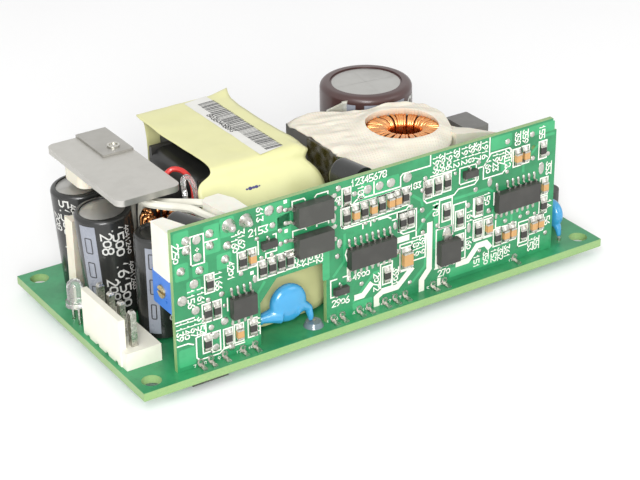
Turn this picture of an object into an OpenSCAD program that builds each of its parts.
// Open frame AC-DC power supply: a main board with an upright control board along one long edge.
// X runs from the output end to the mains end, Y from the control board to the back, Z up.
// The origin is the centre of the four mounting holes, on the underside of the main board.

/* [Main board] */
// Length of the main board
board_l = 101.6; // [101.6:0.1:110]
// Width of the main board
board_w = 50.8; // [50.8:0.1:56]
// Thickness of the main board
board_t = 1.6; // [1.2:0.1:2]
// Distance of each mounting hole from the two nearest edges
hole_inset = 3.175; // [3:0.005:3.4]
// Diameter of the mounting holes
hole_d = 3.6; // [3.2:0.1:3.8]
// How far the trimmed leads and their solder reach below the main board
solder_below = 2.2; // [1.5:0.1:3]

/* [Control board] */
// Height of the upright control board
control_h = 27.7; // [27.3:0.1:29]
// Thickness of the control board
control_t = 1; // [0.8:0.1:1.2]
// Set-back of its front face from the long edge of the main board
control_y = 2.67; // [2.6:0.01:2.8]
// Set-back of its left end from the output end of the main board
control_x = 8.1; // [7.9:0.1:8.2]
// Set-back of its right end from the mains end of the main board
control_right_gap = 10.5; // [10.4:0.1:12]
// Width of the window in its lower edge
window_w = 13.9; // [13.5:0.1:14.2]
// Height of the window
window_h = 12.6; // [12.2:0.1:13.2]

/* [Headers] */
// Pitch of the header pins
pin_pitch = 3.96; // [3.9:0.01:4]
// Width of a square header pin
pin_w = 1.14; // [1:0.01:1.2]
// Height of the pin tips above the main board
pin_h = 10.4; // [9.8:0.1:11]
// Height of a header's base block
header_base_h = 3.4; // [3:0.1:4]
// Depth of a header's base block
header_d = 6.9; // [6.6:0.1:7.4]
// Height of a header's friction wall
header_wall_h = 9.2; // [8:0.1:9.6]

/* [Electrolytic capacitors] */
// Diameter of the two tall output cans
output_can_d = 10; // [9.6:0.1:10.1]
// Height of the two tall output cans
output_can_h = 20; // [18:0.1:20.2]
// Lean of the two tall output cans towards the output end, in degrees
output_can_lean = 4.2; // [3:0.1:4.4]
// Diameter of the third output can
third_can_d = 8; // [7.6:0.1:8.1]
// Height of the third output can
third_can_h = 19.5; // [17:0.1:20]
// Diameter of the bulk can
bulk_can_d = 17.8; // [17:0.1:17.9]
// Height of the bulk can
bulk_can_h = 26.7; // [25:0.1:27.4]
// Diameter of the small cans behind the control board
small_can_d = 5; // [4.6:0.1:5.1]
// Length of the small cans behind the control board
small_can_l = 6.4; // [5.5:0.1:7]
// Thickness of the printed sleeves
sleeve_t = 0.25; // [0.15:0.01:0.28]

/* [Output heatsink] */
// Thickness of the heatsink sheet
sink_t = 1.2; // [1:0.1:1.5]
// Width of its top plate, along the main board
sink_plate_w = 12.7; // [12:0.1:12.8]
// Length of its top plate, across the main board
sink_plate_l = 28.8; // [28:0.1:29]
// Height of its top face above the main board
sink_top = 26.5; // [26.4:0.1:27.2]
// Thickness of the bracket clinched on it
bracket_t = 0.4; // [0.3:0.05:0.6]

/* [Transformer] */
// Length of the ferrite core, across the main board
core_l = 28.5; // [28:0.1:28.5]
// Height of the ferrite core
core_h = 23.5; // [23.3:0.1:24.2]
// Thickness of the ferrite core, along the main board
core_w = 12; // [11:0.1:12.5]
// Width of the winding, along the main board
winding_w = 22.8; // [22:0.1:23]
// Width of the tape that wraps the core
tape_w = 19.3; // [18.5:0.1:19.6]
// Thickness of the tape wrap
tape_t = 0.4; // [0.3:0.05:0.5]

/* [Primary side] */
// Thickness of the primary heatsink
primary_sink_t = 1.5; // [1.2:0.1:1.5]
// Height of the primary heatsink
primary_sink_h = 25.1; // [24.4:0.1:25.1]
// Thickness of the amber insulating sheet
sheet_t = 0.3; // [0.2:0.05:0.35]
// Outer radius of the wound toroid
toroid_r = 8.6; // [8.2:0.1:8.6]
// Inner radius of the wound toroid
toroid_hole_r = 3.7; // [3.4:0.1:3.9]
// Height of the wound toroid
toroid_h = 13.9; // [12.5:0.1:13.9]
// Width of the toroid's copper wire
toroid_wire = 0.75; // [0.5:0.05:0.8]
// Number of turns on the toroid
toroid_turns = 26; // [16:1:27]
// Least height of the base that carries the toroid
toroid_base_h = 11.2; // [10.8:0.1:11.3]
// Thickness of the glass-cloth tape
cloth_t = 0.35; // [0.25:0.05:0.4]
// Diameter of the blue disc capacitors
disc_d = 7.4; // [7:0.1:7.8]
// Thickness of the blue disc capacitors
disc_t = 3; // [2.6:0.1:3.2]

/* [Trimmer] */
// Side of the square trimmer body
trimmer_side = 6.4; // [6:0.1:6.5]
// Depth of the trimmer body
trimmer_depth = 4.9; // [4.5:0.1:5]
// Diameter of the brass adjusting screw
trimmer_screw_d = 2.4; // [2:0.1:2.8]
// Radial clearance of the adjusting screw
trimmer_clearance = 0.05; // [0.03:0.01:0.08]

/* [Hidden] */
$fn = 48;
touch = 0.02;          // clearance between faces that lie against each other
hole_play = 0.1;       // radial play of a lead in its hole
control_back = control_y + control_t;
control_l = board_l - control_x - control_right_gap;
window_x = 25.1;

// Stands a piece on the main board's top face, measured from its output end and long front edge.
module on_board(x = 0, y = 0, z = 0) translate([x - board_l / 2, y - board_w / 2, board_t + z]) children();
// Lays a piece on the control board's front face; local x runs right, local y up, local z outwards.
module on_control(x = 0, z = 0) on_board(x, control_y, z) rotate([90, 0, 0]) children();
module rounded(size, r) {
  translate([r, 0]) square([size.x - 2 * r, size.y]);
  translate([0, r]) square([size.x, size.y - 2 * r]);
  for (x = [r, size.x - r], y = [r, size.y - r]) translate([x, y]) circle(r);
}
// A round wire swept through points, closed at both ends.
function unit(v) = v / norm(v);
function wire_dir(p, i) = unit(p[min(i + 1, len(p) - 1)] - p[max(i - 1, 0)]);
function wire_side(d) = unit(abs(d.z) > 0.9 ? cross(d, [1, 0, 0]) : cross(d, [0, 0, 1]));
function smooth_path(p, n) = [for (i = [0 : len(p) - 2], k = [0 : n - 1])
  let (a = p[max(i - 1, 0)], b = p[i], c = p[i + 1], d = p[min(i + 2, len(p) - 1)], t = k / n)
  0.5 * (2 * b + (c - a) * t + (2 * a - 5 * b + 4 * c - d) * t * t + (3 * b - a - 3 * c + d) * t * t * t),
  p[len(p) - 1]];
module wire(points, r, sides = 8) {
  q = is_list(r) ? r : [for (p = points) r];
  m = len(points);
  rings = [for (i = [0 : m - 1]) let (d = wire_dir(points, i), u = wire_side(d), v = cross(d, u))
    for (k = [0 : sides - 1]) points[i] + q[i] * (cos(360 * k / sides) * u + sin(360 * k / sides) * v)];
  walls = [for (i = [0 : m - 2], k = [0 : sides - 1])
    let (a = i * sides + k, b = i * sides + (k + 1) % sides) [a, b, b + sides, a + sides]];
  first = [[for (k = [sides - 1 : -1 : 0]) k]];
  last = [[for (k = [0 : sides - 1]) (m - 1) * sides + k]];
  polyhedron(rings, concat(first, walls, last), convexity = 6);
}

// A solid between two grids of points; rows run towards the back, columns to the right.
module grid_solid(top, under) {
  c = len(top[0]);
  n = len(top) * c;
  quads = concat(
    [for (i = [0 : len(top) - 2], j = [0 : c - 2]) let (a = i * c + j) [a, a + c, a + c + 1, a + 1]],
    [for (i = [0 : len(top) - 2], j = [0 : c - 2]) let (a = n + i * c + j) [a, a + 1, a + c + 1, a + c]],
    [for (j = [0 : c - 2]) [n + j, j, j + 1, n + j + 1]],
    [for (j = [0 : c - 2]) let (a = n - c + j) [n + a + 1, a + 1, a, n + a]],
    [for (i = [0 : len(top) - 2]) let (a = i * c) [n + a + c, a + c, a, n + a]],
    [for (i = [0 : len(top) - 2]) let (a = i * c + c - 1) [n + a, a, a + c, n + a + c]]);
  polyhedron([for (row = top) each row, for (row = under) each row],
    [for (q = quads) each [[q[0], q[1], q[2]], [q[0], q[2], q[3]]]], convexity = 6);
}
// A mound of adhesive: heights over lines in X and Y, flat underneath.
module mound(xs, ys, heights, base) grid_solid(
  [for (i = [0 : len(ys) - 1]) [for (j = [0 : len(xs) - 1]) [xs[j], ys[i], heights[i][j]]]],
  [for (y = ys) [for (x = xs) [x, y, base]]]);

// ---- Places of the parts on the main board ----
header_x = 1.1;                        // output header base, from the output end
header_y = 8.1;
header_span = 16.2;
input_x = board_l - 1.1 - header_d;    // mains header base
input_y = 15;
input_span = 12.2;
wall_t = 1.2;
pin_inset = 2.6;                       // header pins, from the wall side of the base
output_pins = [for (i = [0 : 3]) [header_x + pin_inset, header_y + header_span / 2 + (i - 1.5) * pin_pitch]];
input_pins = [for (i = [-1, 1]) [input_x + header_d - pin_inset, input_y + input_span / 2 + i * pin_pitch]];
lamp = [1.85, 29];
lamp_pitch = 2.54;
tall_cans = [[10.4, 30.05], [11.4, 41.7]];
third_can = [13.3, 17.6];
can_lift = 0.5;                        // cans stand this far above the main board
choke = [18.25, 25];
choke_r = 4.1;
choke_hole_r = 1.5;
choke_top = 19.6;
choke_wire = 0.7;
choke_turns = 11;
sink_x = 7;
sink_y = 19.4;
web_x = sink_x + sink_plate_w - sink_t;
web_y = 31;
web_l = 16;
device_w = 10;
device_h = 9.2;                        // moulded body of a power device
device_t = 4.4;
device_z = 4;
tab_t = 1.3;
tab_h = 15.6;
device_hole_z = 17;
rectifier_y = 39;
core_x = 31;
core_y = 20;
core_z = 3.5;
leg_t = 3.6;                           // outer legs of the ferrite
yoke_t = 4.4;
core_mid = [core_x + core_w / 2, core_y + core_l / 2, core_z + core_h / 2];
winding_x = core_mid.x - winding_w / 2;
flange_t = 1;
bobbin_pins = [for (i = [0 : 5], y = [core_y + 1.8, core_y + core_l - 1.8]) [core_mid.x + (i - 2.5) * 3.6, y]];
tape_x = core_x - 4.3;
tape_y = core_y - 1;
tape_top = core_z + core_h + 0.05 + tape_t;
label_x = tape_x + 9.7;
primary_x = 50.7;
primary_y = 17;
primary_l = 22.5;
primary_step = 17.3;                   // length over which it reaches its full height
switch_y = [23, 34.2];
toroid = [68.8, 20.6];
toroid_seat = max(toroid_base_h, primary_sink_h - toroid_h);   // the toroid's top is level with the heatsink
toroid_z = toroid_seat + 0.2;
crest_r = 1.6;                         // rounding of the wound toroid
opening_r = 7.1;                       // opening in the tape over the toroid
tape_over = toroid_z + toroid_h + 0.05;
bulk = [72.3, 38.9];
film = [85.7, 22.8];                   // grey box capacitor, low corner
film_size = [5.2, 7.5, 18.6];
inter = [79.4, 6.2];                   // interference capacitor, low corner
inter_size = [12, 5, 10.8];
bridge = [79.2, 45.6];                 // bridge rectifier, low corner
bridge_size = [14.4, 3.8, 9.8];
filter = [89.6, 38.6];
filter_r = 5.2;
filter_hole_r = 2.2;
filter_h = 9;
filter_wire = 0.6;
fuse_at = [97.5, 12.3];
fuse_d = 5;
fuse_h = 6.8;
thermistor_at = [81, 15];
window_disc = [32.2, 4.4, 5.8];
input_disc = [94.6, 7, 4.9];
input_disc_d = 5.6;
trimmer_x = 8.1;
trimmer_z = 11.1;
small_cans = [[15.5, 24.05, 21.2], [48.3, 25.2, 10.9]];   // x, height and sideways turn behind the control board
small_feet = [[[15.5, 25.3], [15.5, 22.8]], [[47.1, 25], [49.6, 24.8]]];   // x, height of their leads in that board

// Every round lead that runs through the main board: x, y, radius, height of its upper end.
led_lead_r = 0.28;
lead_r = 0.35;
pitch_5 = 2.5;
pitch_35 = 1.75;
pitch_75 = 3.75;
function pair(p, dx, dy, r, z) = [for (s = [-1, 1]) [p.x + s * dx, p.y + s * dy, r, z]];
function device_leads(x, y) = [for (s = [-1, 0, 1]) [x, y + s * 2.54, 0.45, 0]];
lead_feet = [[16.9, 30.4], [16.6, 33.6], [21.6, 20.2], [20.4, 18.6], [22.2, 18.6]];
plain_leads = concat(
  pair(tall_cans[0], 0, pitch_5, lead_r, can_lift - 0.2), pair(tall_cans[1], 0, pitch_5, lead_r, can_lift - 0.2),
  pair(third_can, pitch_35, 0, lead_r, can_lift), pair(bulk, pitch_75, 0, 0.4, can_lift),
  pair([film.x + film_size.x / 2, film.y + film_size.y / 2], 0, pitch_5, lead_r, 0.4),
  pair([inter.x + inter_size.x / 2, inter.y + inter_size.y / 2], pitch_5 * 2, 0, lead_r, 0.4),
  [for (i = [0 : 3]) [bridge.x + bridge_size.x / 2 + (i - 1.5) * 3.8, bridge.y + bridge_size.y / 2, 0.4, 3]],
  pair(filter, 3.2, 3.2, lead_r, 0.4), pair(filter, 3.2, -3.2, lead_r, 0.4),
  pair(fuse_at, 0, 1.27, lead_r, 0.4), pair(thermistor_at, pitch_5, 0, lead_r, 1.5),
  pair(choke, 2.8, 0, lead_r, 0.5), pair(lamp, 0, lamp_pitch / 2, led_lead_r, 3.3), [for (p = lead_feet) [p.x, p.y, 0.4, 0]]);
disc_foot_z = [0.95, 0.55, 0.55, 0.55];    // where the bare lead ends and the coating starts
disc_feet = [[window_disc.x + 4.7, 3.7], [window_disc.x - 6.2, 5.3], [input_disc.x, input_disc.y - 2.6],
  [input_disc.x, input_disc.y + 2.6]];
leg_end_r = 0.42;
pin_leads = concat(
  [for (p = output_pins) [p.x, p.y, pin_w * 0.71, 0]], [for (p = input_pins) [p.x, p.y, pin_w * 0.71, 0]],
  [for (p = bobbin_pins) [p.x, p.y, 0.4, 0.5]],
  [for (x = [-1, 1], y = [-1, 1]) [toroid.x + x * 5, toroid.y + y * 5, lead_r, 0.3]],
  [for (p = disc_feet) [p.x, p.y, 0.3, 0]],
  device_leads(web_x + sink_t + 2.6, rectifier_y), device_leads(primary_x + primary_sink_t + 2.6, switch_y[0]),
  device_leads(primary_x + primary_sink_t + 2.6, switch_y[1]),
  [[web_x + sink_t / 2, web_y + 1.5, 0.7, 0], [primary_x + primary_sink_t / 2, primary_y + 1.5, 0.7, 0],
   [primary_x + primary_sink_t / 2, primary_y + primary_l - 1.5, 0.7, 0]]);
through_leads = concat(plain_leads, pin_leads);

// Routes of the leads that run over the output end, chosen along what holds them.
function straight(a, b, n) = [for (i = [0 : n - 1]) a + (b - a) * i / (n - 1)];
sleeve_r = 0.75;
thin_r = 0.5;
sleeved_a = [[lead_feet[0].x, lead_feet[0].y, 0.05], [16.9, 30.4, 14], [16.9, 29.9, 19.4], [16.3, 27, 21.9],
  [15.7, 22.6, 22.9], [16.9, 18.6, 24.1], [18.9, 14.9, 25], each straight([20.6, 12, 25.5], [22.7, control_back + 0.05, 25.5], 4)];
sleeved_b = [[lead_feet[1].x, lead_feet[1].y, 0.05], [16.6, 33.6, 14], [16.4, 33, 18.6], [15.6, 30.6, 21.4],
  [14.3, 26.6, 22.9], [13.7, 21.8, 23.6], [14.7, 17.2, 24.6], each straight([17.1, 12, 25.5], [19.1, control_back + 0.05, 25.5], 4)];
red_route = [[sink_x + sink_plate_w + 0.1, 25.6, 26], [21, 25.4, 26.8], [22.3, 24.2, 26.7], [23, 22.6, 25.6],
  [23, 21.3, 23.6], [22.5, 20.6, 20], [21.6, 20.2, 12], [lead_feet[2].x, lead_feet[2].y, 0.05]];
clear_route = [[lead_feet[3].x, lead_feet[3].y, 0.05], [20.4, 18.6, 12], [20.6, 19.4, 20], [20.9, 20.9, 24.4],
  [21.4, 21.9, 26.2], [22.1, 21.4, 26.5], [22.5, 20.2, 25.2], [22.4, 19, 21.5], [22.2, 18.6, 14],
  [lead_feet[4].x, lead_feet[4].y, 0.05]];

// ---- Places on the control board's front face: x, height ----
opto_x = 35.8;
opto_z = [24, 17.9];
opto_size = [7.3, 3.9, 1.9];
so_pitch = 1.27;
packages = [[21.25, 9.7, 4], [48.35, 12, 8], [81.6, 14, 8]];   // centre and number of leads on each side
sot_places = [[26.95, 19.95], [41.85, 6.1], [70.55, 21.7]];
power_sot = [65.75, 7.1];
resistor_l = 2;
chip_w = 1.25;
chip_t = 0.5;
resistors = [[21.7, 17.9], [25.7, 15], [27.6, 15.1], [29.5, 15.2], [31.3, 15.3], [15.1, 15.6], [14.4, 10],
  [16.3, 10], [18.4, 3.8], [23.4, 4.2], [43.3, 20.2], [47.1, 20.4], [50.9, 20.5], [56.1, 20.8], [55.6, 15.8],
  [57.3, 15.9], [52.2, 5.9], [61.2, 20.8], [63.4, 20.9], [65.5, 21.1], [65.5, 15], [68.6, 12.6], [68.75, 7.6],
  [73, 14], [73, 9.1], [87.9, 21.8], [88.6, 10], [77.7, 6.2], [84, 5.2], [14.2, 4], [43.4, 24.2]];
capacitors = [[23.6, 18], [20.6, 4], [45.2, 20.3], [49, 20.4], [52.8, 20.6], [54.3, 20.7],
  [75.4, 9], [81.8, 21.8], [83.7, 21.9], [88.6, 14], [79.5, 6.3], [81.2, 6.4], [86.3, 6.3], [87.9, 6.4]];
big_capacitor = [56.5, 8.1];
link_x = [12.6, 14.7, 17.5, 21.2, 23.7, 40.3, 42.3, 46, 48.1, 51.7, 54, 56.3, 62.7, 65.3, 82];
tall_joints = [[19.3, 25.4], [22.7, 25.4]];
round_joints = [[27.3, 26.1], [29.5, 25.8], [27.8, 23.2], [15.5, 25.3], [15.5, 22.8], [10.9, 25], [10.9, 23.2],
  [9.6, 19.6], [13.3, 18.7], [18.5, 19.3], [12.1, 16.4], [9.7, 13.8], [12.2, 11.2], [17.6, 12.8], [17.8, 7.3],
  [19.1, 1.6], [41.6, 26.3], [45.2, 24.3], [47.1, 25], [49.6, 24.8], [53, 24.9], [56.8, 24.7], [59.9, 17],
  [60.3, 14.8], [60.2, 12.5], [72.2, 17.8], [75.7, 18.7], [88, 18.2], [77.6, 22.5], [85.6, 22.9]];

// ======== Boards ========
module main_board() color("seagreen") difference() {
  on_board(z = -board_t) cube([board_l, board_w, board_t]);
  for (x = [hole_inset, board_l - hole_inset], y = [hole_inset, board_w - hole_inset])
    on_board(x, y, -board_t - 1) cylinder(h = board_t + 2, d = hole_d);
  for (p = through_leads) on_board(p.x, p.y, -board_t - 1) cylinder(h = board_t + 2, r = p[2] + hole_play, $fn = 16);
}

module control_outline() difference() {
  polygon([[0, 0], [control_l, 0], [control_l, 25.2], [control_l - 0.9, 25.4], [control_l - 0.9, control_h],
    [0, control_h - 0.3]]);
  translate([window_x - control_x, 0]) polygon([[0, -1], [window_w, -1], [window_w, window_h],
    [3.5, window_h - 0.1], [0, window_h - 4.1]]);
  translate([opto_x - 1 - control_x, 20.6]) square([2, 1.8]);
}
module control_board() color("mediumseagreen") difference() {
  on_control(control_x, touch) translate([0, 0, -control_t]) linear_extrude(control_t) control_outline();
  for (p = concat(tall_joints, round_joints)) on_control(p.x, p[1])
    translate([0, 0, -control_t - 1]) cylinder(h = control_t + 2, r = 0.45, $fn = 16);
}

// Flat tinned pins that join the two boards; each foot lies on the main board.
module link_pins() color("silver") for (x = link_x) {
  on_board(x - 0.45, control_y - 1.9, touch) cube([0.9, 1.9 - touch, 0.25]);
  on_control(x, 0) translate([0, 0, touch]) difference() {
    union() {
      translate([-0.45, 0.3]) cube([0.9, 0.5, 0.2]);
      translate([0, 0.85]) cylinder(h = 0.2, r = 0.65, $fn = 24);
    }
    translate([0, 0.85, -1]) cylinder(h = 3, r = 0.3, $fn = 16);
  }
}

// ======== Headers and lamp ========
module header(span, pins, n) {
  difference() {
    union() {
      translate([0, 0, touch]) cube([header_d, span, header_base_h]);
      translate([-0.2, 1.8, touch]) cube([wall_t, span - 1.8, header_wall_h]);
    }
    for (p = pins) translate([p.x - pin_w / 2 - touch, p[1] - pin_w / 2 - touch, -1])
      cube([pin_w + 2 * touch, pin_w + 2 * touch, 20]);
    for (i = [0 : n - 1]) translate([-1, 1.8 + (i + 0.5) * (span - 1.8) / n, 0]) rotate([0, 90, 0])
      cylinder(h = 2, r = 0.6, $fn = 24);
  }
}
module output_header() color("ivory") on_board(header_x, header_y)
  header(header_span, [for (p = output_pins) [p.x - header_x, p.y - header_y]], 4);
module input_header() color("ivory") on_board(board_l, input_y) mirror([1, 0, 0]) translate([board_l - input_x - header_d, 0])
  header(input_span, [for (p = input_pins) [input_x + header_d - p.x, p.y - input_y]], 3);
module header_pins() color("silver") for (p = concat(output_pins, input_pins)) {
  on_board(p.x - pin_w / 2, p.y - pin_w / 2, -board_t) cube([pin_w, pin_w, board_t + pin_h - 0.5]);
  on_board(p.x, p.y, pin_h - 0.5) rotate(45) cylinder(h = 0.5, r1 = pin_w * 0.707, r2 = pin_w * 0.42, $fn = 4);
}

module indicator_lamp() color("white", 0.5) on_board(lamp.x, lamp.y, 3.32) {
  cylinder(h = 1, d = 3.7);
  cylinder(h = 3.8, d = 3);
  translate([0, 0, 3.8]) intersection() {
    sphere(d = 3);
    translate([0, 0, 2]) cube([4, 4, 4], center = true);
  }
}

// ======== Output heatsink ========
module output_heatsink() color("silver") {
  on_board(sink_x, sink_y, sink_top - sink_t) difference() {
    linear_extrude(sink_t) rounded([sink_plate_w, sink_plate_l], 1.6);
    translate([sink_plate_w - 2.8, 20.7, -1]) cylinder(h = 5, d = 1.4);
  }
  on_board(web_x, web_y, 0.3) difference() {
    cube([sink_t, web_l, sink_top - sink_t - 0.3]);
    translate([-1, rectifier_y - web_y, device_hole_z - 0.3]) rotate([0, 90, 0]) cylinder(h = 5, d = 3.2);
  }
  on_board(web_x + sink_t / 2, web_y + 1.5, -board_t) cylinder(h = board_t + 0.3, r = 0.7);
}
// Tinned bracket: a flange on the plate and a leg down the back to the main board.
bracket_x = sink_x + sink_plate_w - 6.3;
bracket_w = 6.2;
bracket_y = sink_y + 17.9;
bracket_back = sink_y + sink_plate_l + touch;
module heatsink_bracket() color("gray") {
  on_board(bracket_x, bracket_y, sink_top + touch) difference() {
    cube([bracket_w, bracket_back - bracket_y + bracket_t, bracket_t]);
    translate([sink_x + sink_plate_w - 2.8 - bracket_x, sink_y + 20.7 - bracket_y, -1]) cylinder(h = 3, d = 1.4);
  }
  on_board(bracket_x, bracket_back, touch) cube([bracket_w, bracket_t, sink_top]);
}
module heatsink_rivet() color("silver") on_board(sink_x + sink_plate_w - 2.8, sink_y + 20.7, 0) {
  translate([0, 0, sink_top - sink_t - 0.4]) cylinder(h = sink_t + bracket_t + 0.4 + 2 * touch, d = 1.4 - 2 * touch);
  translate([0, 0, sink_top - sink_t - 0.4 - touch]) cylinder(h = 0.4, d = 2.4);
  translate([0, 0, sink_top + bracket_t + 2 * touch]) difference() {
    cylinder(h = 0.3, d = 2.4);
    translate([0, 0, 0.1]) cylinder(h = 1, d = 1.6);
  }
}

// ======== Power devices ========
device_places = [[web_x + sink_t, rectifier_y], [primary_x + primary_sink_t, switch_y[0]],
  [primary_x + primary_sink_t, switch_y[1]]];
module power_device_bodies() color("dimgray") for (p = device_places)
  on_board(p.x + tab_t + 2 * touch, p.y - device_w / 2, device_z) cube([device_t - tab_t, device_w, device_h]);
module power_device_tabs() color("silver") for (p = device_places) {
  on_board(p.x + touch, p.y - device_w / 2, device_z) difference() {
    cube([tab_t, device_w, tab_h]);
    translate([-1, device_w / 2, device_hole_z - device_z]) rotate([0, 90, 0]) cylinder(h = 4, d = 3.6);
  }
  for (s = [-1, 0, 1]) on_board(p.x + 2.6, p.y + s * 2.54, -board_t)
    translate([-0.25, -0.35, 0]) cube([0.5, 0.7, board_t + device_z - touch]);
}
module device_screws() color("silver") for (p = device_places) {
  sink = p.x < core_x ? sink_t : primary_sink_t;
  head_x = p.x + tab_t + 2 * touch;
  on_board(p.x - sink - 2, p.y, device_hole_z) rotate([0, 90, 0]) cylinder(h = sink + tab_t + 2 + 2 * touch, d = 2.9);
  on_board(head_x, p.y, device_hole_z) rotate([0, 90, 0]) difference() {
    cylinder(h = 2, d = 5.5);
    translate([0, 0, 1.2]) cube([0.8, 7, 2], center = true);
  }
}

// ======== Primary side ========
module primary_heatsink() color("silver") {
  on_board(primary_x, primary_y, 0.3) difference() {
    union() {
      cube([primary_sink_t, primary_step, primary_sink_h - 0.3]);
      cube([primary_sink_t, primary_l, 20.4]);
      translate([0, 0, primary_sink_h - 1.8]) cube([8, primary_step, 1.5]);
    }
    for (y = switch_y) translate([-1, y - primary_y, device_hole_z - 0.3]) rotate([0, 90, 0]) cylinder(h = 5, d = 3.2);
  }
  for (y = [1.5, primary_l - 1.5]) on_board(primary_x + primary_sink_t / 2, primary_y + y, -board_t)
    cylinder(h = board_t + 0.3, r = 0.7);
}
// Amber sheet down the transformer side of the heatsink, with holes round the screw ends.
module insulating_sheet() color("olive", 0.6) on_board(primary_x - sheet_t - touch, primary_y - 0.6, 3.6) difference() {
  cube([sheet_t, 10, primary_sink_h - 3.8]);
  translate([-1, switch_y[0] - primary_y + 0.6, device_hole_z - 3.6]) rotate([0, 90, 0]) cylinder(h = 3, d = 5);
}
module toroid_section(grow = 0) translate([toroid_hole_r - grow, toroid_z - grow])
  rounded([toroid_r - toroid_hole_r + 2 * grow, toroid_h + 2 * grow], crest_r + grow);
module toroid_core() color("dimgray") on_board(toroid.x, toroid.y) rotate_extrude($fn = 64)
  toroid_section(-toroid_wire - touch);
// Each turn is one closed loop of wire round the section of the core.
module toroid_winding() color("peru") on_board(toroid.x, toroid.y) for (i = [0 : toroid_turns - 1])
  rotate([0, 0, (i + 0.5) * 360 / toroid_turns]) rotate([90, 0, 0]) linear_extrude(toroid_wire, center = true)
    difference() {
      toroid_section();
      toroid_section(-toroid_wire);
    }
module toroid_base() color([0.12, 0.12, 0.12]) on_board(toroid.x, toroid.y) {
  translate([0, 0, toroid_seat - 1.6]) linear_extrude(1.6) difference() {
    circle(r = toroid_r);
    circle(r = toroid_hole_r);
  }
  for (x = [-1, 1], y = [-1, 1]) translate([x * 5, y * 5, 0.3]) cylinder(h = toroid_seat - 1.9, r = 1.1, $fn = 24);
}
// Glass-cloth tape: a cup round the toroid, open above its hole, and a flat tongue over the primary heatsink.
module cloth_tape() color("ivory") {
  on_board(toroid.x, toroid.y) rotate_extrude($fn = 64) intersection() {
    difference() {
      toroid_section(0.05 + cloth_t);
      toroid_section(0.05);
    }
    translate([opening_r, toroid_z + 1]) square([10, toroid_h + 2]);
  }
  on_board(0, 0, tape_over) difference() {
    linear_extrude(cloth_t) polygon([[50.4, 33], [52.2, 34.2], [54.9, 34.7], [58.6, 34.2], [63.4, 32], [66.6, 29.3],
      [toroid.x + 5, toroid.y + 5], [toroid.x + 7.6, toroid.y - 4], [71, 11.3], [67, 9], [51.8, 9], [50.4, 15.5]]);
    translate([toroid.x, toroid.y, -1]) cylinder(h = 3, r = toroid_r - crest_r, $fn = 64);
  }
}
module film_capacitor() color("dimgray") on_board(film.x, film.y, 0.4) linear_extrude(film_size.z) rounded([film_size.x, film_size.y], 0.4);
module interference_capacitor() color("goldenrod") on_board(inter.x, inter.y, 0.4) linear_extrude(inter_size.z) rounded([inter_size.x, inter_size.y], 0.4);
module bridge_rectifier() color("dimgray") on_board(bridge.x, bridge.y, 3) cube([bridge_size.x, bridge_size.y, bridge_size.z]);
module fuse() color([0.1, 0.1, 0.1]) on_board(fuse_at.x, fuse_at.y, 0.4) cylinder(h = fuse_h, d = fuse_d);
module thermistor() color("darkolivegreen") on_board(thermistor_at.x, thermistor_at.y, 6) rotate([90, 0, 0])
  cylinder(h = 3, d = 9, center = true);
module filter_section(grow = 0) translate([filter_hole_r - grow, 0.6 - grow])
  rounded([filter_r - filter_hole_r + 2 * grow, filter_h + 2 * grow], 1 + grow);
module filter_choke_core() color("dimgray") on_board(filter.x, filter.y) rotate_extrude() filter_section(-filter_wire - touch);
module filter_choke_windings() color("peru") on_board(filter.x, filter.y) for (side = [0, 180], i = [-4 : 4])
  rotate([0, 0, side + i * 17]) rotate([90, 0, 0]) linear_extrude(filter_wire, center = true) difference() {
    filter_section();
    filter_section(-filter_wire);
  }

// Blue disc capacitors: a lens-shaped body standing on edge, its coating drawn down over two leads.
module disc(d) rotate([90, 0, 0]) intersection() {
  cylinder(h = disc_t, d = d, center = true);
  for (s = [-1, 1]) translate([0, 0, s * (disc_t / 2 - 5.6)]) sphere(r = 5.6, $fn = 96);
}
// A tapering leg of coating through points, with the radius at each.
module leg(points, r) for (i = [0 : len(points) - 2]) hull() {
  translate(points[i]) sphere(r[i], $fn = 16);
  translate(points[i + 1]) sphere(r[i + 1], $fn = 16);
}
function leg_end(i) = [disc_feet[i].x, disc_feet[i].y, disc_foot_z[i] + leg_end_r + touch];
module disc_capacitors() color("deepskyblue") {
  on_board(window_disc.x, window_disc.y, window_disc.z) disc(disc_d);
  on_board(input_disc.x, input_disc.y, input_disc.z) rotate(90) disc(input_disc_d);
  on_board() {
    leg([[window_disc.x + 1.8, window_disc.y, 4.9], [window_disc.x + 3.8, window_disc.y - 0.1, 4],
      [disc_feet[0].x, 4, 2.6], leg_end(0)], [1.25, 1, 0.7, leg_end_r]);
    leg([[window_disc.x - 1.8, window_disc.y, 4.4], [window_disc.x - 4.2, window_disc.y + 0.3, 4.4],
      [disc_feet[1].x, 5.1, 3.4], leg_end(1)], [1.25, 1, 0.7, leg_end_r]);
    for (i = [2, 3]) leg([[input_disc.x, input_disc.y + (i - 2.5) * 2.8, 3.4], [input_disc.x, input_disc.y + (i - 2.5) * 5, 2],
      leg_end(i)], [0.9, 0.6, leg_end_r]);
  }
}
module lead_bead() color("slategray") on_board(disc_feet[0].x - 0.3, disc_feet[0].y - 0.3, touch) difference() {
  cylinder(h = 0.9, d1 = 3.8, d2 = 2.9);
  translate([0.3, 0.3, -1]) cylinder(h = 4, r = 0.3 + touch, $fn = 16);
}

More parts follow.
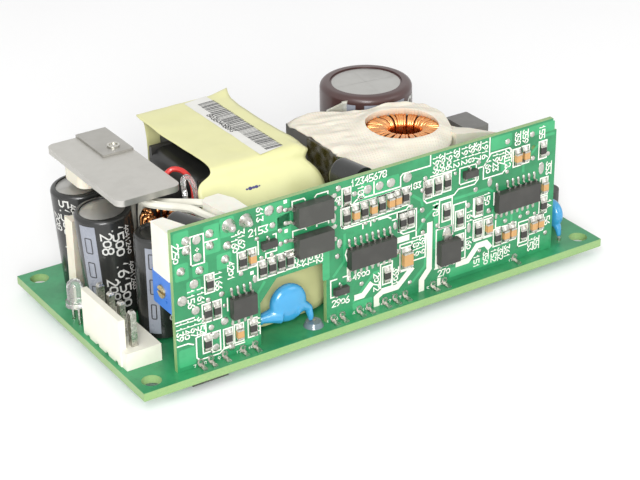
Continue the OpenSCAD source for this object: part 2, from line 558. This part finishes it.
// ======== Electrolytic capacitors ========
// Half section of a can with a rounded shoulder.
module can_section(r, from, to, shoulder) {
  translate([0, from]) square([r, to - from - shoulder]);
  translate([0, from]) square([r - shoulder, to - from]);
  translate([r - shoulder, to - shoulder]) circle(shoulder);
}
module can(d, h, shoulder = 0.5) rotate_extrude() intersection() {
  can_section(d / 2, 0.3, h - 0.3, shoulder);
  square([d, h]);
}
module sleeve(d, h, shoulder = 0.5, lip = 0.75, open_top = true) rotate_extrude() difference() {
  can_section(d / 2 + sleeve_t + touch, 0, h, shoulder + sleeve_t + touch);
  can_section(d / 2 + touch, 0.3 - touch, h - 0.3 + touch, shoulder);
  translate([-1, -1]) square([d / 2 - lip + 1, open_top ? h + 2 : h / 2]);
}
module leaning(p) on_board(p.x, p.y, can_lift) rotate([0, -output_can_lean, 0]) children();
module output_capacitor_cans() color("lightgray") {
  for (p = tall_cans) leaning(p) can(output_can_d, output_can_h);
  on_board(third_can.x, third_can.y, can_lift) can(third_can_d, third_can_h);
}
module output_capacitor_sleeves() color([0.13, 0.13, 0.14]) {
  for (p = tall_cans) leaning(p) sleeve(output_can_d, output_can_h);
  on_board(third_can.x, third_can.y, can_lift) sleeve(third_can_d, third_can_h, open_top = false);
}
module behind_control(c) on_board(c[0], control_back, c[1]) rotate([0, 0, c[2]]) rotate([-90, 0, 0]) children();
small_lift = [for (c = small_cans) 0.1 + (small_can_d / 2 + 2 * sleeve_t) * sin(c[2])];
module small_capacitor_cans() color("lightgray") for (i = [0, 1]) behind_control(small_cans[i])
  translate([0, 0, small_lift[i]]) can(small_can_d, small_can_l);
module small_capacitor_sleeves() color([0.13, 0.13, 0.14]) for (i = [0, 1]) behind_control(small_cans[i])
  translate([0, 0, small_lift[i]]) sleeve(small_can_d, small_can_l);
module bulk_capacitor_can() color("lightgray") on_board(bulk.x, bulk.y, can_lift) can(bulk_can_d, bulk_can_h, bulk_shoulder);
module bulk_capacitor_sleeve() color([0.25, 0.18, 0.16]) on_board(bulk.x, bulk.y, can_lift)
  sleeve(bulk_can_d, bulk_can_h, bulk_shoulder, 2.2);
bulk_shoulder = 0.9;

// ======== Output choke ========
module choke_section(grow = 0) translate([choke_hole_r - grow, 0.5 - grow])
  rounded([choke_r - choke_hole_r + 2 * grow, choke_top - 0.5 + 2 * grow], 0.9 + grow);
module output_choke_core() color("dimgray") on_board(choke.x, choke.y) rotate_extrude() choke_section(-choke_wire - touch);
module output_choke_winding() color("peru") on_board(choke.x, choke.y) for (i = [0 : choke_turns - 1])
  rotate([0, 0, i * 360 / choke_turns + 9]) rotate([90, 0, 0]) linear_extrude(choke_wire, center = true) difference() {
    choke_section();
    choke_section(-choke_wire);
  }

// ======== Trimmer ========
trimmer_y = control_back + touch;
trimmer_mid = [trimmer_x, trimmer_y + trimmer_side / 2, trimmer_z + trimmer_side / 2];
screw_deep = 1.6;
module trimmer_body() color("royalblue") difference() {
  on_board(trimmer_x, trimmer_y, trimmer_z) cube([trimmer_depth, trimmer_side, trimmer_side]);
  on_board(trimmer_mid.x - 1, trimmer_mid.y, trimmer_mid.z) rotate([0, 90, 0])
    cylinder(h = 1 + screw_deep, d = trimmer_screw_d + 2 * trimmer_clearance);
}
module trimmer_screw() color("goldenrod") on_board(trimmer_mid.x - 0.3, trimmer_mid.y, trimmer_mid.z) difference() {
  rotate([0, 90, 0]) cylinder(h = 0.3 + screw_deep - touch, d = trimmer_screw_d);
  translate([0, 0, 0]) cube([1.2, trimmer_screw_d + 1, 0.5], center = true);
}

// ======== Transformer ========
module core_half() difference() {
  cube([core_w, core_l / 2, core_h]);
  for (z = [leg_t, core_h / 2 + leg_t]) translate([-1, yoke_t, z]) cube([core_w + 2, core_l, core_h / 2 - 2 * leg_t]);
}
module transformer_core() color([0.2, 0.2, 0.21]) {
  on_board(core_x, core_y, core_z) core_half();
  on_board(core_x, core_mid.y + touch, core_z) translate([0, core_l / 2, 0]) mirror([0, 1, 0]) core_half();
}
window_gap = 0.25;                      // play between the ferrite and the bobbin
bobbin_wall = 0.7;
flange_y = core_y + yoke_t + window_gap;
flange_l = core_l - 2 * yoke_t - 2 * window_gap;
flange_h = core_h - 2 * leg_t - 2 * window_gap;
module bobbin_part(y, l, w, h) translate([core_mid.x - w / 2, y, core_mid.z - h / 2]) cube([w, l, h]);
module transformer_bobbin() color([0.1, 0.1, 0.1]) on_board() difference() {
  union() {
    bobbin_part(flange_y, flange_l, core_w + 2 * (window_gap + bobbin_wall), 2 * (leg_t + window_gap + bobbin_wall));
    for (y = [flange_y, flange_y + flange_l - flange_t]) bobbin_part(y, flange_t, winding_w - 1, flange_h);
    for (y = [core_y, core_y + core_l - 4.7]) translate([winding_x + 1, y, 0.4])
      cube([winding_w - 2, 4.7, core_z - 0.7]);
    for (y = [flange_y, flange_y + flange_l - flange_t], x = [winding_x + 1, winding_x + winding_w - 4.9])
      translate([x, y, 0.4]) cube([3.9, flange_t, core_mid.z - flange_h / 2 + 1 - 0.4]);
  }
  bobbin_part(0, 60, core_w + 2 * window_gap, 2 * (leg_t + window_gap));
  for (p = bobbin_pins) translate([p.x, p.y, 0]) cylinder(h = 1.5, r = 0.4 + touch, $fn = 16);
}
module transformer_winding() color([0.07, 0.07, 0.07]) on_board(0, flange_y + flange_t + 0.1, 0) difference() {
  h = flange_h - 0.6;
  translate([0, flange_l - 2 * flange_t - 0.2, 0]) rotate([90, 0, 0]) linear_extrude(flange_l - 2 * flange_t - 0.2)
    translate([winding_x, core_mid.z - h / 2]) rounded([winding_w, h], 3);
  translate([core_mid.x - core_w / 2 - window_gap - bobbin_wall - touch, -1, core_mid.z - leg_t - window_gap - bobbin_wall - touch])
    cube([core_w + 2 * (window_gap + bobbin_wall + touch), core_l, 2 * (leg_t + window_gap + bobbin_wall + touch)]);
}
// Yellow tape: a sheet over the top, a skirt down the back and an apron that slopes down in front to the
// main board. Each row of the apron is: share of the slope, left end, right end.
apron = [[0, 24, 42.6], [0.25, 23.8, 45.4], [0.5, 23.7, 47.6], [0.75, 23.6, 48.2], [0.93, 24.4, 47], [1, 26.6, 46.2]];
apron_foot = 7.2;
function apron_row(a, back) = [for (k = [0 : 8]) let (u = k / 4 - 1)
  [a[1] + (a[2] - a[1]) * k / 8, apron_foot + (tape_y + 0.1 - apron_foot) * a[0] + 2.4 * pow(abs(u), 5) * (1 - pow(a[0], 8))
    - 1.2 * sin(180 * a[0]) + back, 0.4 + (tape_top - 0.4) * a[0] - (back > 0 ? tape_t * a[0] : 0)]];
module transformer_tape() color("khaki") {
  on_board(tape_x, tape_y, 0) difference() {
    translate([0, 0, 5]) cube([tape_w, core_l + 1.1 + tape_t, tape_top - 5]);
    translate([-1, -1, 0]) cube([tape_w + 2, core_l + 2.1, tape_top - tape_t]);
  }
  on_board() grid_solid([for (a = apron) apron_row(a, 0)], [for (a = apron) apron_row(a, tape_t)]);
}
module transformer_label() color("white") on_board(label_x, core_y + 0.5, tape_top + touch) cube([5.6, core_l - 0.5, 0.1]);

// ======== Leads and adhesive ========
module route(points, r) on_board() wire(smooth_path(points, 3), r);
module red_lead() color("red") route(red_route, thin_r);
module clear_lead() color("mistyrose", 0.7) route(clear_route, thin_r);
module sleeved_leads() color("whitesmoke") {
  route(sleeved_a, sleeve_r);
  route(sleeved_b, sleeve_r);
}
module component_leads() color("silver") {
  for (p = plain_leads) on_board(p.x, p.y, -board_t) cylinder(h = board_t + p[3], r = p[2], $fn = 16);
  for (p = bobbin_pins) on_board(p.x, p.y, -board_t) cylinder(h = board_t + 1.5, r = 0.4, $fn = 16);
  for (i = [0 : 3]) on_board(disc_feet[i].x, disc_feet[i].y, -board_t) cylinder(h = board_t + disc_foot_z[i], r = 0.3, $fn = 16);
  for (x = [-1, 1], y = [-1, 1]) on_board(toroid.x + x * 5, toroid.y + y * 5, -board_t) cylinder(h = board_t + 0.28, r = lead_r, $fn = 16);
  for (i = [0, 1], s = [-1, 1]) {
    c = small_cans[i];
    foot = small_feet[i][s > 0 ? 1 : 0];
    hull() {
      on_board(foot.x, control_back + 0.25 + touch, foot[1]) sphere(0.25, $fn = 16);
      behind_control(c) translate([s * i, s * (1 - i), small_lift[i] + 0.02]) sphere(0.25, $fn = 16);
    }
  }
}
// White adhesive: a block above the trimmer and a mound that holds the sleeved leads to the control board.
module white_adhesive() color("white") {
  difference() {
    on_board(0, 0, trimmer_z + trimmer_side + touch) linear_extrude(26.9 - trimmer_z - trimmer_side)
      polygon([[7.9, control_back + touch], [12.6, control_back + touch], [12.6, 4.4], [10.7, 9.3], [7.9, 9.3]]);
    behind_control(small_cans[0]) {
      r = small_can_d / 2 + sleeve_t + 0.1;
      translate([0, 0, -1]) cylinder(h = 20, r = r);
      translate([-r, -20, -1]) cube([2 * r, 20, 20]);
    }
  }
  on_board() difference() {
    translate([0, 0, 24.1]) linear_extrude(2.8) polygon([[20.2, control_back + touch], [24.4, control_back + touch],
      [24.2, 9], [22.8, 12], [20, 11.9], [19, 10.9], [19.2, 8]]);
    a = sleeved_a[len(sleeved_a) - 4];
    b = sleeved_a[len(sleeved_a) - 1];
    translate(a) rotate([90, 0, -atan2(a.x - b.x, a.y - b.y)]) translate([0, 0, -4]) cylinder(h = 20, r = sleeve_r + touch);
  }
}
// Ivory adhesive: under the heatsink plate, between the tall cans, and between toroid and box capacitor.
module ivory_adhesive() color("ivory") {
  on_board(8.4, 36.9, 21.3) linear_extrude(sink_top - sink_t - touch - 21.3) rounded([6.6, 8], 2);
  on_board(0, 0, touch) linear_extrude(17) polygon([[4.8, 34.4], [4.8, 37.5], [7.4, 36.3], [13, 36.3], [13, 35.6],
    [7.4, 35.6]]);
  on_board() difference() {
    mound([74.5, 80, 84.5, 88.5], [12, 15, 19, 22.6], [[25, 24, 22.8, 21], [25, 23.8, 22, 20],
      [25, 22.5, 20.5, 18.8], [24.5, 21, 19.2, 18.2]], 11.8);
    translate([toroid.x, toroid.y, 0]) cylinder(h = 40, r = toroid_r + 0.05 + cloth_t + touch, $fn = 64);
  }
}

// ======== Control board parts ========
module optocouplers() color("dimgray") for (z = opto_z) on_control(opto_x, z) translate([0, 0, 0.3])
  linear_extrude(opto_size.z) square([opto_size.x, opto_size.y], center = true);
module package_size(n) translate([0, 0, 0.15]) linear_extrude(1.5) square([(n - 1) * so_pitch + 1, 3.9], center = true);
module chip_packages() color([0.2, 0.2, 0.2]) for (p = packages) on_control(p.x, p.y) package_size(p[2]);
// Bent leads of the packages, optocouplers and small transistors.
module gull(w) {
  translate([-w / 2, 0, 0.65]) cube([w, 0.5, 0.2]);
  translate([-w / 2, 0.5 - 0.2, touch]) cube([w, 0.2, 0.83]);
  translate([-w / 2, 0.3, touch]) cube([w, 1.3, 0.2]);
}
module chip_package_leads() color("silver") {
  for (p = packages, side = [0, 1], i = [0 : p[2] - 1]) if (p != packages[2] || side == 1 || i != 1)
    on_control(p.x + (i - (p[2] - 1) / 2) * so_pitch, p.y) mirror([0, side, 0]) translate([0, 1.95 + touch, 0]) gull(0.42);
  for (z = opto_z, side = [0, 1], s = [-1.27, 1.27]) on_control(opto_x, z + s) mirror([side, 0, 0])
    translate([opto_size.x / 2 + touch, 0, 0]) rotate(-90) gull(0.6);
  for (p = sot_places, q = [[0, 1], [-0.95, -1], [0.95, -1]]) on_control(p.x + q[0], p.y)
    mirror([0, q[1] < 0 ? 1 : 0, 0]) translate([-0.2, 0.65 + touch, touch]) cube([0.4, 0.55, 0.5]);
  on_control(power_sot.x, power_sot.y) {
    translate([-0.9, 2.35 + touch, touch]) cube([1.8, 1, 0.5]);
    for (x = [-1.5, 0, 1.5]) translate([x - 0.25, -3.35, touch]) cube([0.5, 1 - touch, 0.4]);
  }
}
module small_transistors() color([0.15, 0.15, 0.15]) {
  for (p = sot_places) on_control(p.x, p.y) translate([-1.5, -0.65, 0.1]) cube([3, 1.3, 0.95]);
  on_control(power_sot.x, power_sot.y) translate([-2.25, -2.35, 0.1]) cube([4.5, 4.7, 1.5]);
}
module chip(l, w, t) translate([-w / 2, -l / 2 + 0.35, touch]) cube([w, l - 0.7, t]);
module chip_resistors() color([0.1, 0.1, 0.1]) for (p = resistors) on_control(p.x, p[1]) chip(resistor_l, chip_w, chip_t);
module chip_capacitors() color("tan") {
  for (p = capacitors) on_control(p.x, p[1]) chip(resistor_l, chip_w, 0.8);
  on_control(big_capacitor.x, big_capacitor[1]) chip(3, 2, 1);
}
module chip_cap(l, w, t) for (s = [-1, 1]) translate([-w / 2, s * (l - 0.35) / 2 - 0.175 + s * touch, touch]) cube([w, 0.35, t]);
module chip_ends() color("silver") {
  for (p = resistors) on_control(p.x, p[1]) chip_cap(resistor_l, chip_w, chip_t + 0.02);
  for (p = capacitors) on_control(p.x, p[1]) chip_cap(resistor_l, chip_w, 0.82);
  on_control(big_capacitor.x, big_capacitor[1]) chip_cap(3, 2, 1.02);
}
module control_board_solder() color("silver") {
  for (p = tall_joints) on_control(p.x, p[1]) translate([0, 0, touch]) {
    cylinder(h = 0.6, r1 = 1.2, r2 = 0.9);
    translate([0, 0, 0.6]) cylinder(h = 1.2, r1 = 0.9, r2 = 0.4);
  }
  for (p = round_joints) on_control(p.x, p[1]) translate([0, 0, touch]) cylinder(h = 0.6, r1 = 0.75, r2 = 0.35);
  for (p = concat(tall_joints, round_joints)) on_control(p.x, p[1]) translate([0, 0, touch - control_t])
    cylinder(h = control_t + 0.3, r = 0.35, $fn = 16);
}

// ======== Underside ========
// Each lead ends in a cone of solder; all are trimmed to one height, on which the supply rests.
module underside_solder() color("silver") for (p = through_leads) on_board(p.x, p.y, -board_t - touch) mirror([0, 0, 1]) {
  cylinder(h = solder_below * 0.55, r1 = p[2] + 0.65, r2 = p[2] * 0.9, $fn = 16);
  cylinder(h = solder_below, r = p[2] * 0.9, $fn = 16);
}
under_chips = [[16, 6], [22, 7.5], [33, 9], [44, 8], [58, 8], [70, 6], [46, 44], [30, 12]];
module underside_parts() color([0.1, 0.1, 0.1]) {
  for (p = under_chips) on_board(p.x, p[1], -board_t - touch) mirror([0, 0, 1]) translate([-1.6, -0.8]) cube([3.2, 1.6, 0.7]);
  on_board(9.8, 0.6, -board_t - touch) mirror([0, 0, 1]) cube([7.2, 1.2, 0.7]);
}

main_board();
control_board();
link_pins();
output_header();
input_header();
header_pins();
indicator_lamp();
output_heatsink();
heatsink_bracket();
heatsink_rivet();
power_device_bodies();
power_device_tabs();
device_screws();
primary_heatsink();
insulating_sheet();
cloth_tape();
output_capacitor_cans();
output_capacitor_sleeves();
small_capacitor_cans();
small_capacitor_sleeves();
bulk_capacitor_can();
bulk_capacitor_sleeve();
output_choke_core();
output_choke_winding();
trimmer_body();
trimmer_screw();
transformer_core();
transformer_bobbin();
transformer_winding();
transformer_tape();
transformer_label();
red_lead();
clear_lead();
sleeved_leads();
toroid_core();
toroid_winding();
toroid_base();
film_capacitor();
interference_capacitor();
disc_capacitors();
lead_bead();
bridge_rectifier();
fuse();
filter_choke_core();
filter_choke_windings();
thermistor();
component_leads();
white_adhesive();
ivory_adhesive();
optocouplers();
chip_packages();
chip_package_leads();
small_transistors();
chip_resistors();
chip_capacitors();
chip_ends();
control_board_solder();
underside_solder();
underside_parts();
